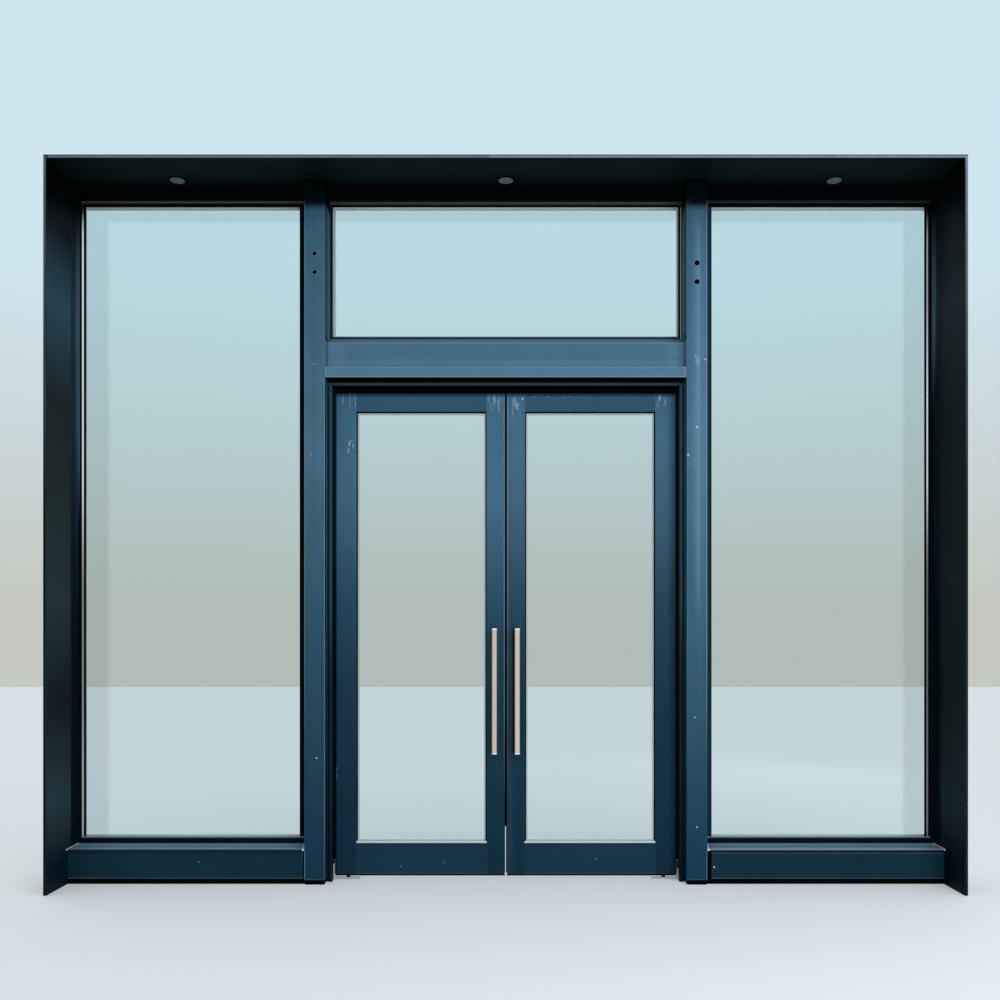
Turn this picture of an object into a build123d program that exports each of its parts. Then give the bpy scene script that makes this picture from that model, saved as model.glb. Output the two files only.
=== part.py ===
from build123d import *
import os
from math import hypot

# A pair of centre-pivoted glass door leaves in a portal of folded metal linings, with a
# fanlight over a transom and a side light on a plinth at each side.
# Millimetres. X runs to the right, Y into the building and Z up. The origin is on the
# floor, midway across and midway between the portal's front and back.

# Leaves
leaf_width = 900.0
leaf_height = 2556.0
leaf_thickness = 50.0
leaf_wall = 3.0
hinge_stile_face = 111.0
meeting_stile_face = 96.0
top_rail_face = 96.0
bottom_rail_face = 166.0
arris = 1.0                  # sharp edges eased by this much
floor_gap = 30.0             # floor to leaf
top_gap = 30.0               # leaf to door head
meeting_gap = 12.0           # leaf to leaf
pivot_inset = 65.0           # pivot axis to the leaf's outer edge
swing_clearance = 5.4        # swinging corner to door jamb

# Glazing, the same build in every light
edge_cover = 10.0            # pane edge behind the sight line
edge_clearance = 4.0         # pane edge to the bottom of the rebate
gasket_show = 6.0            # gasket inside the sight line
gasket_hold = 7.0            # gasket behind the sight line
outer_gasket = 4.0           # thicknesses, from the street inwards
pane_thickness = 6.0
inner_gasket = 3.0
leaf_flange = 6.0
leaf_cavity = 12.0
leaf_spacer_width = 8.0
frame_flange = 8.0
frame_cavity = 16.0
frame_spacer_width = 12.0
frame_depth = 60.0
frame_wall = 3.0
side_web = 3.0               # frame web against the reveal
mullion_bar = 8.0            # glazing bar on the mullion's side
weather_bar_height = 10.0    # sloping bar at the foot of the glass
weather_bar_nose = 3.0
weather_bar_reach = 2.0      # it stands this far forward of the frame
head_strip = 30.0            # face of the head member
head_recess_height = 46.0    # set-back part above it
head_recess_depth = 15.0
side_bottom_member = 36.0
fan_bottom_member = 42.0

# Uprights and transom
mullion_width = 108.0
mullion_wall = 4.0
mullion_foot_height = 25.0
mullion_foot_inset = 4.0
fixing_hole_radius = 10.0
fixing_hole_spacing = 98.0
fixing_drop_left = 440.0     # middle of the pair of holes below the soffit
fixing_drop_right = 490.0
mullion_round = 2.5
door_jamb_face = 26.0
door_head_height = 28.0
door_strip = 16.0            # forward strip of jambs and head, next to the leaves
strip_step = 6.0             # the rest of their face is set back this far
transom_height = 202.0
transom_wall = 4.0
fascia_thickness = 3.0
lower_fascia_height = 56.0
fascia_joint = 3.0
lip_height = 54.0
lip_wall = 3.0

# Side lights, plinths and sills
side_light_width = 1240.0
fanlight_height = 834.0
plinth_height = 176.0
plinth_recess_height = 30.0
plinth_recess_depth = 20.0
plinth_wall = 4.0
plinth_gap_left = 9.0        # fascia to mullion
plinth_gap_right = 24.0
fascia_sheet = 2.0
fascia_setback = 6.0         # fascia behind the sill's nose
sill_sheet = 3.0
sill_nose = 8.0
sill_fall = 4.0

# Portal
portal_depth = 470.0
lining_thickness = 15.0
lining_sheet = 2.5
reveal_panel_depth = 277.0
panel_joint = 2.0
soffit_centre_width = 2470.0
trim_thickness = 3.0
trim_joint = 1.5
top_trim_joint_x = -86.0
right_trim_joint_z = 2290.0
head_rail_height = 45.0
head_rail_wall = 4.0
anchor_radius = 7.0
anchor_spacing = 3000.0

# Depths, measured from the front face of the leaves
leaf_setback = 335.0         # portal front
mullion_reach = 111.0        # mullion, plinth and lip stand this far forward
door_jamb_reach = 49.0
transom_reach = 41.0
frame_setback = 34.0         # fixed frames lie this far behind
downlight_reach = 87.0

# Downlights
downlight_bezel_radius = 43.5
downlight_can_radius = 38.0
downlight_can_wall = 2.5
downlight_can_height = 48.0
downlight_bezel_thickness = 2.0
downlight_clearance = 0.5
downlight_spacing = 1718.0
lens_thickness = 4.0
lens_recess = 6.0

# Pulls
pull_length = 662.0
pull_radius = 13.5
pull_centre_height = 1005.0
pull_inset = 54.0            # bar axis to the leaf's meeting edge
pull_standoff = 62.0         # bar axis to the leaf's face
pull_post_radius = 8.0
pull_post_inset = 80.0       # post axis to the bar's end
pull_end_round = 2.0

# Pivots, closers and brushes
spindle_radius = 10.0
running_clearance = 0.3
shoe_height = 60.0
bore_depth = 42.0
passage_clearance = 6.0      # spindle to the holes it passes through
closer_length = 280.0
closer_width = 56.0
closer_height = 62.0
closer_nose = 60.0           # spindle axis to the closer's end
floor_plate_thickness = 6.0
floor_plate_width = 60.0
floor_plate_tail = 60.0
edge_plate_thickness = 2.0
edge_plate_width = 40.0
edge_plate_height = 70.0
upstand_thickness = 3.0      # leg of the floor plate against the door jamb
upstand_height = 88.0
brush_thickness = 6.0
brush_clearance = 0.4
brush_start = 5.0            # above the edge plate
meeting_brush_start = 250.0  # above the leaf's bottom edge
bottom_seal_height = 12.0
bottom_seal_thickness = 12.0

# Places that follow, across the portal
rebate = edge_cover + edge_clearance
mullion_pocket = rebate - mullion_bar
corner_radius = hypot(pivot_inset, leaf_thickness / 2)
jamb_gap = corner_radius - pivot_inset + swing_clearance
meeting_edge = meeting_gap / 2
leaf_edge = meeting_edge + leaf_width
pivot_x = leaf_edge - pivot_inset
jamb_face = leaf_edge + jamb_gap
mullion_inner = jamb_face + door_jamb_face
mullion_outer = mullion_inner + mullion_width
lining_face = mullion_outer + side_light_width
portal_half = lining_face + lining_thickness
side_sight = lining_face - side_web - rebate
side_sight_in = mullion_outer + mullion_bar
fan_sight = mullion_inner - mullion_bar

# Places that follow, upwards
leaf_bottom = floor_gap
leaf_top = leaf_bottom + leaf_height
door_head_bottom = leaf_top + top_gap
transom_bottom = door_head_bottom + door_head_height
transom_top = transom_bottom + transom_height
lip_top = transom_bottom + lip_height
soffit_z = transom_top + fanlight_height
head_bottom = soffit_z - head_recess_height - head_strip
portal_top = soffit_z + lining_thickness
side_sill_z = plinth_height + side_bottom_member
fan_sill_z = transom_top + fan_bottom_member

# Places that follow, into the building
portal_front = -portal_depth / 2
portal_back = portal_depth / 2
lining_front = portal_front + trim_thickness
leaf_front = portal_front + leaf_setback
leaf_back = leaf_front + leaf_thickness
leaf_mid = leaf_front + leaf_thickness / 2
mullion_front = leaf_front - mullion_reach
door_jamb_front = leaf_front - door_jamb_reach
fascia_front = leaf_front - transom_reach
transom_front = fascia_front + fascia_thickness
frame_front = leaf_front + frame_setback
frame_back = frame_front + frame_depth
flange_back = frame_front + frame_flange
return_front = lining_front + reveal_panel_depth + panel_joint

nodes = {}


def block(low, high):
    # a straight block from its lowest corner to its highest
    size = [b - a for a, b in zip(low, high)]
    middle = [(a + b) / 2 for a, b in zip(low, high)]
    return Pos(*middle) * Box(*size)


def rod(centre, radius, length, turn=(0, 0, 0)):
    # a round rod centred on a point, along Z unless turned
    return Pos(*centre) * Rotation(*turn) * Cylinder(radius, length)


def eased(bar):
    # takes the sharp edge off the face towards the street
    return chamfer(bar.faces().sort_by(Axis.Y)[0].edges(), arris)


def extrude_along_x(points, x0, x1):
    # a section drawn in Y and Z, run from x0 to x1
    face = make_face(Polyline([(x0, y, z) for y, z in points], close=True))
    return extrude(face, amount=x1 - x0, dir=(1, 0, 0))


def keep(name, *shapes):
    solids = [solid for shape in shapes for solid in shape.solids()]
    nodes[name] = solids[0] if len(solids) == 1 else Compound(solids)


def mirrored(shapes):
    return [mirror(shape, Plane.YZ) for shape in shapes]


def keep_both(stem, shapes):
    # the right-hand piece and its mirror image on the left
    keep(stem + "_right", *shapes)
    keep(stem + "_left", *mirrored(shapes))


def grown(rectangle, by):
    x0, x1, z0, z1 = rectangle
    return (x0 - by, x1 + by, z0 - by, z1 + by)


def ring(outer, inner, y0, y1):
    # four straight bars between two rectangles, uprights between the bottom and top bars
    ox0, ox1, oz0, oz1 = outer
    ix0, ix1, iz0, iz1 = inner
    return [
        block((ox0, y0, oz0), (ox1, y1, iz0)),
        block((ox0, y0, iz1), (ox1, y1, oz1)),
        block((ox0, y0, iz0), (ix0, y1, iz1)),
        block((ix1, y0, iz0), (ox1, y1, iz1)),
    ]


def glaze(sight, y, bead_back, cavity, spacer_width):
    # panes, spacer bars, gaskets with edge seal, and beads for one light
    # sight is its rectangle between the flanges, y the back of those flanges
    pane = grown(sight, edge_cover)
    gasket_edge = grown(sight, -gasket_show)
    spacer_edge = grown(sight, -gasket_show - spacer_width)
    y_pane = y + outer_gasket
    y_cavity = y_pane + pane_thickness
    y_inner = y_cavity + cavity
    y_back = y_inner + pane_thickness
    y_bead = y_back + inner_gasket
    x0, x1, z0, z1 = pane
    panes = [
        block((x0, y_pane, z0), (x1, y_cavity, z1)),
        block((x0, y_inner, z0), (x1, y_back, z1)),
    ]
    gaskets = ring(grown(sight, gasket_hold), gasket_edge, y, y_pane)
    gaskets += ring(grown(sight, gasket_hold), gasket_edge, y_back, y_bead)
    gaskets += ring(pane, gasket_edge, y_cavity, y_inner)
    spacer = ring(gasket_edge, spacer_edge, y_cavity, y_inner)
    beads = ring(grown(sight, rebate), sight, y_bead, bead_back)
    return panes, spacer, gaskets, beads


def crossbar(x0, x1, y0, y1, z0, z1, flange, wall, rebate_on_top, chamber_setback=0.0):
    # a hollow horizontal member with its rebate above or below
    # its ends reach behind the flanges of the uprights at x0 and x1
    web0, web1 = (z0, z1 - rebate) if rebate_on_top else (z0 + rebate, z1)
    cut0, cut1 = (web1, z1) if rebate_on_top else (z0, web0)
    bar = block((x0, y0, z0), (x1, y1, z1)) - block((x0, y0 + flange, cut0), (x1, y1, cut1))
    bar += block((x0 - rebate, y0 + flange, web0), (x1 + rebate, y1, web1))
    if web1 - web0 > 3 * wall:
        front = y0 + chamber_setback + wall
        bar -= block((x0 - rebate, front, web0 + wall), (x1 + rebate, y1 - wall, web1 - wall))
    return eased(bar)


def upright(x0, x1, y0, y1, z0, z1, flange, wall, rebate_at_low_x):
    # a hollow vertical member with its rebate on one side
    web0, web1 = (x0 + rebate, x1) if rebate_at_low_x else (x0, x1 - rebate)
    cut0, cut1 = (x0, web0) if rebate_at_low_x else (web1, x1)
    bar = block((x0, y0, z0), (x1, y1, z1)) - block((cut0, y0 + flange, z0), (cut1, y1, z1))
    return eased(bar - block((web0 + wall, y0 + wall, z0), (web1 - wall, y1 - wall, z1)))


def tray(low, high, sheet, open_side):
    # a folded sheet tray, open on the +X or the +Z side
    inner_low = [a + sheet for a in low]
    inner_high = [b - sheet for b in high]
    inner_high["XYZ".index(open_side)] = high["XYZ".index(open_side)]
    return block(low, high) - block(inner_low, inner_high)


def hollow_along_x(low, high, wall):
    inner_low = (low[0], low[1] + wall, low[2] + wall)
    inner_high = (high[0], high[1] - wall, high[2] - wall)
    return block(low, high) - block(inner_low, inner_high)


# Portal linings, trim and head rail
keep_both("lining", [tray((lining_face, lining_front, 0),
                          (portal_half, return_front - panel_joint, portal_top), lining_sheet, "X")])
lining_return = tray((lining_face, return_front, 0), (portal_half, portal_back, portal_top),
                     lining_sheet, "X")
keep("lining_returns", lining_return, *mirrored([lining_return]))

soffit_edges = [-lining_face, -soffit_centre_width / 2, soffit_centre_width / 2, lining_face]
downlight_x = [-downlight_spacing, 0.0, downlight_spacing]
downlight_y = leaf_front - downlight_reach
soffit_panels = []
for index in range(3):
    x0 = soffit_edges[index] + (panel_joint / 2 if index else 0)
    x1 = soffit_edges[index + 1] - (panel_joint / 2 if index < 2 else 0)
    panel = tray((x0, lining_front, soffit_z), (x1, portal_back, portal_top), lining_sheet, "Z")
    opening = rod((downlight_x[index], downlight_y, soffit_z),
                  downlight_can_radius + downlight_clearance, 4 * lining_sheet)
    soffit_panels.append(panel - opening)
keep("soffit_panels", *soffit_panels)


def trim_bar(x0, x1, z0, z1):
    return block((x0, portal_front, z0), (x1, lining_front, z1))


half_joint = trim_joint / 2
keep("edge_trim",
     trim_bar(-portal_half, -lining_face, 0, soffit_z),
     trim_bar(lining_face, portal_half, 0, right_trim_joint_z - half_joint),
     trim_bar(lining_face, portal_half, right_trim_joint_z + half_joint, soffit_z),
     trim_bar(-portal_half, top_trim_joint_x - half_joint, soffit_z, portal_top),
     trim_bar(top_trim_joint_x + half_joint, portal_half, soffit_z, portal_top))

head_rail = hollow_along_x((-portal_half, frame_front, portal_top),
                           (portal_half, frame_back, portal_top + head_rail_height), head_rail_wall)
for x in (-anchor_spacing / 2, anchor_spacing / 2):
    head_rail -= rod((x, (frame_front + frame_back) / 2, portal_top + head_rail_height / 2),
                     anchor_radius, 2 * head_rail_height)
keep("head_rail", head_rail)


# Downlights
def downlight(x):
    can_top = soffit_z + downlight_can_height
    can = Pos(x, downlight_y, (soffit_z + can_top) / 2) * Cylinder(downlight_can_radius, can_top - soffit_z)
    bezel = rod((x, downlight_y, soffit_z - downlight_bezel_thickness / 2),
                downlight_bezel_radius, downlight_bezel_thickness)
    bore_bottom = soffit_z - downlight_bezel_thickness
    bore_top = can_top - downlight_can_wall
    bore = rod((x, downlight_y, (bore_bottom + bore_top) / 2),
               downlight_can_radius - downlight_can_wall, bore_top - bore_bottom)
    return can + bezel - bore


def lens(x):
    return rod((x, downlight_y, soffit_z + lens_recess + lens_thickness / 2),
               downlight_can_radius - downlight_can_wall - running_clearance, lens_thickness)


keep("downlights", *[downlight(x) for x in downlight_x])
keep("downlight_lenses", *[lens(x) for x in downlight_x])


# Mullions and their feet
def mullion(fixing_drop):
    x0, x1, wall = mullion_inner, mullion_outer, mullion_wall
    bottom = mullion_foot_height
    box = block((x0, mullion_front, bottom), (x1, frame_back, soffit_z))
    box -= block((x1 - mullion_pocket, flange_back, plinth_height), (x1, frame_back, soffit_z))
    box -= block((x0, flange_back, transom_top), (x0 + mullion_pocket, frame_back, soffit_z))
    box -= block((x0 + wall, mullion_front + wall, bottom), (x1 - wall, flange_back - wall, soffit_z))
    box -= block((x0 + mullion_pocket + wall, flange_back - wall, bottom),
                 (x1 - mullion_pocket - wall, frame_back - wall, soffit_z))
    front_edges = box.faces().sort_by(Axis.Y)[0].edges().filter_by(Axis.Z)
    box = fillet(front_edges, mullion_round)
    for side in (-1, 1):
        height = soffit_z - fixing_drop + side * fixing_hole_spacing / 2
        box -= rod(((x0 + x1) / 2, mullion_front, height), fixing_hole_radius, 3 * wall, (90, 0, 0))
    return box


keep("mullion_left", *mirrored([mullion(fixing_drop_left)]))
keep("mullion_right", mullion(fixing_drop_right))
foot = block((mullion_inner + mullion_foot_inset, mullion_front + mullion_foot_inset, 0),
             (mullion_outer - mullion_foot_inset, frame_back - mullion_foot_inset, mullion_foot_height))
keep("mullion_feet", foot, *mirrored([foot]))

# Transom with its cover plates, lip and closers
spindle_hole_radius = spindle_radius + passage_clearance
transom = hollow_along_x((-mullion_inner, transom_front, transom_bottom),
                         (mullion_inner, frame_back, transom_top), transom_wall)
door_head = block((-mullion_inner, door_jamb_front, door_head_bottom),
                  (mullion_inner, frame_back, transom_bottom))
door_head -= block((-mullion_inner, door_jamb_front, door_head_bottom + door_strip),
                   (mullion_inner, door_jamb_front + strip_step, transom_bottom))
door_head -= block((-mullion_inner, door_jamb_front + strip_step + leaf_wall, door_head_bottom + leaf_wall),
                   (mullion_inner, frame_back - leaf_wall, transom_bottom - leaf_wall))
for x in (-pivot_x, pivot_x):
    transom -= rod((x, leaf_mid, transom_bottom), spindle_hole_radius, 3 * transom_wall)
    door_head -= rod((x, leaf_mid, (door_head_bottom + transom_bottom) / 2),
                     spindle_hole_radius, 2 * door_head_height)
keep("transom", transom)
keep("door_head", eased(door_head))

fascia_split = lip_top + lower_fascia_height
lower_fascia = block((-mullion_inner, fascia_front, lip_top), (mullion_inner, transom_front, fascia_split))
upper_fascia = block((-mullion_inner, fascia_front, fascia_split + fascia_joint),
                     (mullion_inner, transom_front, transom_top))
keep("transom_fascias", eased(lower_fascia), eased(upper_fascia))
keep("transom_lip", eased(hollow_along_x((-mullion_inner, mullion_front, transom_bottom),
                                         (mullion_inner, transom_front, lip_top), lip_wall)))

closer_bottom = transom_bottom + transom_wall
closer = block((pivot_x + closer_nose - closer_length, leaf_mid - closer_width / 2, closer_bottom),
               (pivot_x + closer_nose, leaf_mid + closer_width / 2, closer_bottom + closer_height))
closer -= rod((pivot_x, leaf_mid, closer_bottom), spindle_radius + running_clearance, 2 * bore_depth)
keep("closers", closer, *mirrored([closer]))

# Door jambs and the brush over the leaves
door_jamb = block((jamb_face, door_jamb_front, 0), (mullion_inner, frame_back, door_head_bottom))
door_jamb -= block((jamb_face + door_strip, door_jamb_front, 0),
                   (mullion_inner, door_jamb_front + strip_step, door_head_bottom))
door_jamb -= block((jamb_face + leaf_wall, door_jamb_front + strip_step + leaf_wall, 0),
                   (mullion_inner - leaf_wall, frame_back - leaf_wall, door_head_bottom))
keep_both("door_jamb", [eased(door_jamb)])

brush_stops = [-jamb_face, -pivot_x - spindle_hole_radius, -pivot_x + spindle_hole_radius,
               pivot_x - spindle_hole_radius, pivot_x + spindle_hole_radius, jamb_face]
keep("head_brush", *[block((brush_stops[i], leaf_mid - brush_thickness / 2, leaf_top + brush_clearance),
                           (brush_stops[i + 1], leaf_mid + brush_thickness / 2, door_head_bottom))
                     for i in (0, 2, 4)])

# Plinths and sills
core_front = mullion_front + plinth_recess_depth
plinth_core = hollow_along_x((mullion_outer, core_front, 0), (lining_face, frame_back, plinth_height),
                             plinth_wall)
keep("plinth_cores", plinth_core, *mirrored([plinth_core]))


def plinth_fascia(gap):
    # a sheet folded back at its top and bottom edges, against the core
    low = (mullion_outer + gap, mullion_front + fascia_setback, plinth_recess_height)
    high = (lining_face, core_front, plinth_height)
    hollow = block((low[0], low[1] + fascia_sheet, low[2] + fascia_sheet),
                   (high[0], high[1], high[2] - fascia_sheet))
    return eased(block(low, high) - hollow)


keep("plinth_fascia_left", *mirrored([plinth_fascia(plinth_gap_left)]))
keep("plinth_fascia_right", plinth_fascia(plinth_gap_right))

sill_front_z = plinth_height + sill_nose
sill_back_z = sill_front_z + sill_fall
sill = extrude_along_x([
    (mullion_front, plinth_height), (mullion_front, sill_front_z),
    (frame_front, sill_back_z), (frame_front, plinth_height),
    (frame_front - sill_sheet, plinth_height), (frame_front - sill_sheet, sill_back_z - sill_sheet),
    (mullion_front + sill_sheet, sill_front_z - sill_sheet), (mullion_front + sill_sheet, plinth_height)],
    mullion_outer, lining_face)
keep("sills", sill, *mirrored([sill]))


# Fixed frames and their glazing
def head_member(x0, x1):
    bar = crossbar(x0, x1, frame_front, frame_back, head_bottom, soffit_z,
                   frame_flange, frame_wall, False, head_recess_depth)
    return bar - block((x0 - rebate, frame_front, soffit_z - head_recess_height),
                       (x1 + rebate, frame_front + head_recess_depth, soffit_z))


def glazing_bar(x, z0):
    # the flat bar that holds a pane against a mullion, up to the soffit
    return eased(block((x, frame_front, z0), (x + mullion_bar, flange_back, soffit_z)))


def weather_bar(x0, x1, front, back, z):
    return extrude_along_x([(front - weather_bar_reach, z), (front - weather_bar_reach, z + weather_bar_nose),
                            (back, z + weather_bar_height), (back, z)], x0, x1)


side_jamb = block((side_sight, frame_front, plinth_height), (lining_face, frame_back, soffit_z))
side_jamb -= block((side_sight, flange_back, plinth_height), (side_sight + rebate, frame_back, soffit_z))
side_bottom = crossbar(side_sight_in, side_sight, frame_front, frame_back, plinth_height, side_sill_z,
                       frame_flange, frame_wall, True)
keep_both("side_frame", [eased(side_jamb), head_member(side_sight_in, side_sight), side_bottom,
                         glazing_bar(mullion_outer, plinth_height)])
fan_bottom = crossbar(-fan_sight, fan_sight, frame_front, frame_back, transom_top, fan_sill_z,
                      frame_flange, frame_wall, True)
keep("fan_frame", head_member(-fan_sight, fan_sight), fan_bottom,
     glazing_bar(fan_sight, transom_top), glazing_bar(-mullion_inner, transom_top))

glass, spacer, gaskets, beads = glaze((side_sight_in, side_sight, side_sill_z, head_bottom),
                                      flange_back, frame_back, frame_cavity, frame_spacer_width)
side_weather_bar = weather_bar(side_sight_in, side_sight, frame_front, flange_back, side_sill_z)
keep_both("side_glass", glass)
keep_both("side_spacer", spacer)
keep_both("side_gaskets", gaskets)
keep_both("side_beads", beads + [side_weather_bar])
glass, spacer, gaskets, beads = glaze((-fan_sight, fan_sight, fan_sill_z, head_bottom),
                                      flange_back, frame_back, frame_cavity, frame_spacer_width)
keep("fan_glass", *glass)
keep("fan_spacer", *spacer)
keep("fan_gaskets", *gaskets)
keep("fan_beads", *beads)

# Floor pivots, which carry the leaves
plate = block((pivot_x - floor_plate_tail, leaf_mid - floor_plate_width / 2, 0),
              (jamb_face, leaf_mid + floor_plate_width / 2, floor_plate_thickness))
spindle_top = leaf_bottom + bore_depth - running_clearance
plate += block((jamb_face - upstand_thickness, leaf_mid - floor_plate_width / 2, 0),
               (jamb_face, leaf_mid + floor_plate_width / 2, upstand_height))
plate += rod((pivot_x, leaf_mid, spindle_top / 2), spindle_radius, spindle_top)
keep("floor_pivots", plate, *mirrored([plate]))

# Leaf frame
sight_in = meeting_edge + meeting_stile_face
sight_out = leaf_edge - hinge_stile_face
top_rail_bottom = leaf_top - top_rail_face
bottom_rail_top = leaf_bottom + bottom_rail_face
keep_both("hinge_stile", [upright(sight_out, leaf_edge, leaf_front, leaf_back, leaf_bottom, leaf_top,
                                  leaf_flange, leaf_wall, True)])
keep_both("meeting_stile", [upright(meeting_edge, sight_in, leaf_front, leaf_back, leaf_bottom, leaf_top,
                                    leaf_flange, leaf_wall, False)])
keep_both("top_rail", [crossbar(sight_in, sight_out, leaf_front, leaf_back, top_rail_bottom, leaf_top,
                                leaf_flange, leaf_wall, False)])
keep_both("bottom_rail", [crossbar(sight_in, sight_out, leaf_front, leaf_back, leaf_bottom, bottom_rail_top,
                                   leaf_flange, leaf_wall, True)])

# Leaf glazing, with the brushes in the leaf's upright edges and the seal under it
glass, spacer, gaskets, beads = glaze((sight_in, sight_out, bottom_rail_top, top_rail_bottom),
                                      leaf_front + leaf_flange, leaf_back, leaf_cavity, leaf_spacer_width)
brush0, brush1 = leaf_mid - brush_thickness / 2, leaf_mid + brush_thickness / 2
brushes = [
    block((leaf_edge, brush0, leaf_bottom + edge_plate_height + brush_start),
          (jamb_face - brush_clearance, brush1, leaf_top)),
    block((brush_clearance, brush0, leaf_bottom + meeting_brush_start), (meeting_edge, brush1, leaf_top)),
]
seal0, seal1 = leaf_mid - bottom_seal_thickness / 2, leaf_mid + bottom_seal_thickness / 2
bottom_seals = [block((x0, seal0, leaf_bottom - bottom_seal_height), (x1, seal1, leaf_bottom))
                for x0, x1 in ((meeting_edge, pivot_x - spindle_hole_radius),
                               (pivot_x + spindle_hole_radius, leaf_edge))]
leaf_weather_bar = weather_bar(sight_in, sight_out, leaf_front, leaf_front + leaf_flange, bottom_rail_top)
keep_both("leaf_glass", glass)
keep_both("leaf_spacer", spacer)
keep_both("leaf_seals", gaskets + brushes + bottom_seals)
keep_both("leaf_beads", beads + [leaf_weather_bar])

# Pivot shoes, which fill the ends of the hollow hinge stile
shoe_low = (sight_out + rebate + leaf_wall, leaf_front + leaf_wall)
shoe_high = (leaf_edge - leaf_wall, leaf_back - leaf_wall)
bottom_shoe = block((*shoe_low, leaf_bottom), (*shoe_high, leaf_bottom + shoe_height))
bottom_shoe -= rod((pivot_x, leaf_mid, leaf_bottom), spindle_radius + running_clearance, 2 * bore_depth)
edge_plate = block((leaf_edge, leaf_mid - edge_plate_width / 2, leaf_bottom),
                   (leaf_edge + edge_plate_thickness, leaf_mid + edge_plate_width / 2,
                    leaf_bottom + edge_plate_height))
top_spindle_end = closer_bottom + bore_depth - running_clearance
top_shoe = block((*shoe_low, leaf_top - shoe_height), (*shoe_high, leaf_top))
top_shoe += rod((pivot_x, leaf_mid, (leaf_top + top_spindle_end) / 2), spindle_radius,
                top_spindle_end - leaf_top)
keep_both("pivots", [bottom_shoe, edge_plate, top_shoe])


# Pulls, one on each face of the leaf
def pull(face_y, outward):
    x = meeting_edge + pull_inset
    y = face_y + outward * pull_standoff
    bar = rod((x, y, pull_centre_height), pull_radius, pull_length)
    bar = fillet(bar.edges().filter_by(GeomType.CIRCLE), pull_end_round)
    for side in (-1, 1):
        z = pull_centre_height + side * (pull_length / 2 - pull_post_inset)
        bar += rod((x, (face_y + y) / 2, z), pull_post_radius, pull_standoff, (90, 0, 0))
    return bar


keep_both("pull_handles", [pull(leaf_front, -1), pull(leaf_back, 1)])

os.makedirs("parts", exist_ok=True)
for name, shape in nodes.items():
    export_step(shape, f"parts/{name}.step")
print(len(nodes), "nodes,", sum(len(shape.solids()) for shape in nodes.values()), "solids")
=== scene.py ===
import math

import bmesh
import bpy
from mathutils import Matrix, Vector


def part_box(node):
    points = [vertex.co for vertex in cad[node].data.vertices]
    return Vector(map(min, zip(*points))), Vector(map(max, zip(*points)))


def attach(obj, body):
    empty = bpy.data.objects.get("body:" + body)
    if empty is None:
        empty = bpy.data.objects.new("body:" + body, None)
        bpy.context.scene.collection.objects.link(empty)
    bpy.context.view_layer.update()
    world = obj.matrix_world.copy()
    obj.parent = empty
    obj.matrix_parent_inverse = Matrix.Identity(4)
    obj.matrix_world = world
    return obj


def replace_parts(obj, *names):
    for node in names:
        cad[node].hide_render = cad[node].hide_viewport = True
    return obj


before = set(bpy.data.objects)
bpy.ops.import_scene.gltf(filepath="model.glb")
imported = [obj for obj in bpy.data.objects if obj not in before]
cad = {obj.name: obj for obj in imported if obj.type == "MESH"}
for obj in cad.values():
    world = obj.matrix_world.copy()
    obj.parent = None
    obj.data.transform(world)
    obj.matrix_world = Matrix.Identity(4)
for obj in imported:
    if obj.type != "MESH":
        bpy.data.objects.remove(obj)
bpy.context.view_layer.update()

# Pair of glass door leaves with fanlight, side lights and a dark metal portal.
# Metres. X to the right, Y into the building, Z up, floor at Z = 0.
scene = bpy.context.scene
scene.view_settings.view_transform = "Standard"
mm = 0.001
sides = {"left": -1, "right": 1}
print("frame loaded,", len(cad), "nodes")


def hexColour(code):
    # sRGB hex to linear RGBA
    parts = [int(code[i:i + 2], 16) / 255 for i in (1, 3, 5)]
    return tuple(p / 12.92 if p <= 0.04045 else ((p + 0.055) / 1.055) ** 2.4 for p in parts) + (1.0,)


def addNode(tree, kind, inputs=None, **settings):
    # one node with its settings; an input is a value, a colour code, a socket, or a node (its first output)
    made = tree.nodes.new("ShaderNode" + kind)
    for name, value in settings.items():
        setattr(made, name, value)
    for key, value in (inputs or {}).items():
        if isinstance(value, str):
            value = hexColour(value)
        if isinstance(value, bpy.types.Node):
            value = value.outputs[0]
        if isinstance(value, bpy.types.NodeSocket):
            tree.links.new(value, made.inputs[key])
        else:
            made.inputs[key].default_value = value
    return made


def newMaterial(name):
    material = bpy.data.materials.new(name)
    material.use_nodes = True
    material.node_tree.nodes.clear()
    return material, material.node_tree


def bothSides(*names):
    return [f"{name}_{side}" for name in names for side in sides]


def dress(material, *names):
    # the CAD nodes' own slots take the finish
    for name in names:
        mesh = cad[name].data
        mesh.materials.clear()
        mesh.materials.append(material)


def setRamp(ramp, stops):
    # stops are (place, colour hex)
    band = ramp.color_ramp
    while len(band.elements) > 1:
        band.elements.remove(band.elements[-1])
    for index, (place, code) in enumerate(stops):
        stop = band.elements[0] if index == 0 else band.elements.new(place)
        stop.position = place
        stop.color = hexColour(code)


# Camera and stage
view = {
    "place": (0.022, -5.219, 1.275),    # eye height of a person in front of the door
    "lens": 36.0,
    "sensor": 36.0,
    "shiftX": -0.01,
    "shiftY": 0.14,
}
camera = bpy.data.objects.new("camera", bpy.data.cameras.new("camera"))
scene.collection.objects.link(camera)
camera.location = view["place"]
camera.rotation_euler = (math.radians(90), 0, 0)
camera.data.lens = view["lens"]
camera.data.sensor_width = view["sensor"]
camera.data.shift_x = view["shiftX"]
camera.data.shift_y = view["shiftY"]
scene.camera = camera

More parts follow.
